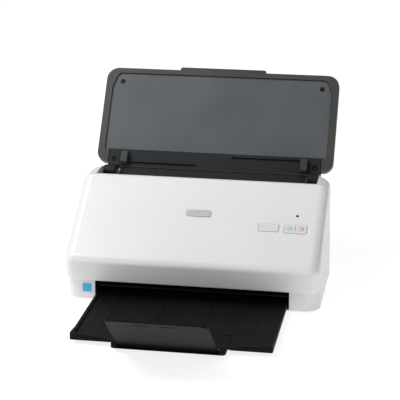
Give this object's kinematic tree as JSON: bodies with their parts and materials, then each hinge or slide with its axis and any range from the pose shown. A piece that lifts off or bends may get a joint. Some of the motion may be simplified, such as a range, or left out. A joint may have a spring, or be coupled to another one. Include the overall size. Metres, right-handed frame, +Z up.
{
  "type": "sheet fed document scanner",
  "caption": "Compact desktop scanner that feeds loose sheets from a folding rear tray past two image sensors and drops them on a sliding front tray",
  "frame": {"origin": "centre of the whole object's footprint, on the surface that it stands on, with the input tray open and the output tray out", "axes": "+X to the right as seen by a person in front of it, +Y from the front towards the back, +Z up"},
  "size_m": [0.3, 0.4572, 0.2297],
  "materials": {
    "white_plastic": "glossy",
    "grey_plastic": "fine grain",
    "dark_plastic": "fine grain",
    "black_plastic": "fine grain",
    "rubber": "matt",
    "steel": "bright",
    "glass": "polished",
    "gear_plastic": "natural acetal",
    "circuit_board": "green solder mask",
    "blue_label": "printed film",
    "lens": "clear smoked"
  },
  "bodies": {
    "base": {"rear_case": "white_plastic", "base_plate": "dark_plastic", "foot_front_left": "rubber", "foot_front_right": "rubber", "foot_rear_left": "rubber", "foot_rear_right": "rubber", "base_screw_left": "steel", "base_screw_right": "steel", "label_patch": "blue_label", "lower_chassis": "black_plastic", "feed_table": "grey_plastic", "rear_scan_module": "black_plastic", "rear_glass": "glass", "main_board": "circuit_board", "power_jack": "black_plastic", "usb_port": "steel", "motor": "steel", "door_pin_left": "steel", "door_pin_right": "steel", "tray_pin_left": "steel", "tray_pin_right": "steel"},
    "input_tray": {"tray_shell": "dark_plastic", "tray_panel": "grey_plastic", "tray_ramp": "grey_plastic", "hinge_arm_left": "grey_plastic", "hinge_arm_right": "grey_plastic", "tray_screw_arm_left": "steel", "tray_screw_arm_right": "steel", "tray_screw_top_left": "steel", "tray_screw_top_right": "steel"},
    "tray_extension": {"tray_extension": "grey_plastic"},
    "paper_guide_left": {"paper_guide_left": "grey_plastic"},
    "paper_guide_right": {"paper_guide_right": "grey_plastic"},
    "guide_pinion": {"guide_pinion": "gear_plastic"},
    "door": {"front_cover": "white_plastic", "door_frame": "black_plastic", "control_board": "circuit_board", "name_plate": "steel", "status_lens": "lens", "front_scan_module": "black_plastic", "front_glass": "glass"},
    "cancel_button": {"cancel_button": "white_plastic"},
    "scan_button": {"scan_button": "white_plastic"},
    "separation_roller": {"separation_roller": "rubber", "separation_shaft": "steel"},
    "feed_idler": {"feed_idler": "rubber"},
    "exit_idler": {"exit_idler": "rubber"},
    "output_tray": {"output_tray": "black_plastic"},
    "output_extension": {"output_extension": "black_plastic", "flap_pin": "steel"},
    "stop_flap": {"stop_flap": "black_plastic"},
    "feed_roller": {"feed_roller": "rubber", "feed_gear": "gear_plastic"},
    "pick_roller": {"pick_roller": "rubber", "pick_shaft": "steel", "pick_gear": "gear_plastic"},
    "motor_pinion": {"motor_pinion": "gear_plastic"},
    "idler_gear": {"idler_gear": "gear_plastic"},
    "exit_roller": {"exit_roller": "rubber", "exit_gear": "gear_plastic"}
  },
  "joints": [
    {"name": "input_tray_hinge", "type": "hinge", "parent": "base", "child": "input_tray", "pos_m": [0, 0.11689, 0.12025], "axis": [-1, 0, 0], "range_deg": [-138, 0]},
    {"name": "tray_extension_slide", "type": "slide", "parent": "input_tray", "child": "tray_extension", "axis": [0, 0.5948, 0.8039], "range_m": [0, 0.075]},
    {"name": "paper_guide_left_slide", "type": "slide", "parent": "input_tray", "child": "paper_guide_left", "axis": [1, 0, 0], "range_m": [0, 0.08]},
    {"name": "paper_guide_right_slide", "type": "slide", "parent": "input_tray", "child": "paper_guide_right", "axis": [1, 0, 0], "range_m": [-0.08, 0]},
    {"name": "guide_pinion_spin", "type": "hinge", "parent": "input_tray", "child": "guide_pinion", "pos_m": [0, 0.14907, 0.12592], "axis": [0, -0.8039, 0.5948], "range_deg": [-2, 1150]},
    {"name": "door_hinge", "type": "hinge", "parent": "base", "child": "door", "pos_m": [0, -0.01873, 0.032], "axis": [1, 0, 0], "range_deg": [0, 48]},
    {"name": "cancel_button_press", "type": "slide", "parent": "door", "child": "cancel_button", "axis": [0, 0.5455, -0.8381], "range_m": [0, 0.001], "stiffness_N_per_m": 800, "springref_m": -0.0005},
    {"name": "scan_button_press", "type": "slide", "parent": "door", "child": "scan_button", "axis": [0, 0.5455, -0.8381], "range_m": [0, 0.001], "stiffness_N_per_m": 800, "springref_m": -0.0005},
    {"name": "separation_roller_spin", "type": "hinge", "parent": "door", "child": "separation_roller", "pos_m": [0, 0.09566, 0.10199], "axis": [1, 0, 0], "continuous": true},
    {"name": "feed_idler_spin", "type": "hinge", "parent": "door", "child": "feed_idler", "pos_m": [0, 0.07946, 0.07169], "axis": [1, 0, 0], "continuous": true},
    {"name": "exit_idler_spin", "type": "hinge", "parent": "door", "child": "exit_idler", "pos_m": [0, 0.0491, 0.03211], "axis": [1, 0, 0], "continuous": true},
    {"name": "output_tray_slide", "type": "slide", "parent": "base", "child": "output_tray", "axis": [0, 1, 0], "range_m": [0, 0.11]},
    {"name": "output_extension_slide", "type": "slide", "parent": "output_tray", "child": "output_extension", "axis": [0, -1, 0], "range_m": [0, 0.045]},
    {"name": "stop_flap_hinge", "type": "hinge", "parent": "output_extension", "child": "stop_flap", "pos_m": [0, -0.15903, 0.0096], "axis": [-1, 0, 0], "range_deg": [0, 139]},
    {"name": "feed_roller_spin", "type": "hinge", "parent": "base", "child": "feed_roller", "pos_m": [0, 0.09104, 0.06312], "axis": [1, 0, 0], "continuous": true},
    {"name": "pick_roller_spin", "type": "hinge", "parent": "base", "child": "pick_roller", "pos_m": [0, 0.11608, 0.08688], "axis": [1, 0, 0], "continuous": true},
    {"name": "motor_spin", "type": "hinge", "parent": "base", "child": "motor_pinion", "pos_m": [0, 0.11147, 0.045], "axis": [1, 0, 0], "continuous": true},
    {"name": "idler_gear_spin", "type": "hinge", "parent": "base", "child": "idler_gear", "pos_m": [0, 0.06979, 0.03798], "axis": [1, 0, 0], "continuous": true},
    {"name": "exit_roller_spin", "type": "hinge", "parent": "base", "child": "exit_roller", "pos_m": [0, 0.05694, 0.02276], "axis": [1, 0, 0], "continuous": true}
  ],
  "couplings": [
    {"joint": "paper_guide_right_slide", "follows": "paper_guide_left_slide", "ratio": -1},
    {"joint": "guide_pinion_spin", "follows": "paper_guide_left_slide", "rad_per_m": 250},
    {"joint": "pick_roller_spin", "follows": "feed_roller_spin", "ratio": -1.8182},
    {"joint": "motor_spin", "follows": "feed_roller_spin", "ratio": -4},
    {"joint": "idler_gear_spin", "follows": "feed_roller_spin", "ratio": -2},
    {"joint": "exit_roller_spin", "follows": "feed_roller_spin", "ratio": 2.5}
  ]
}
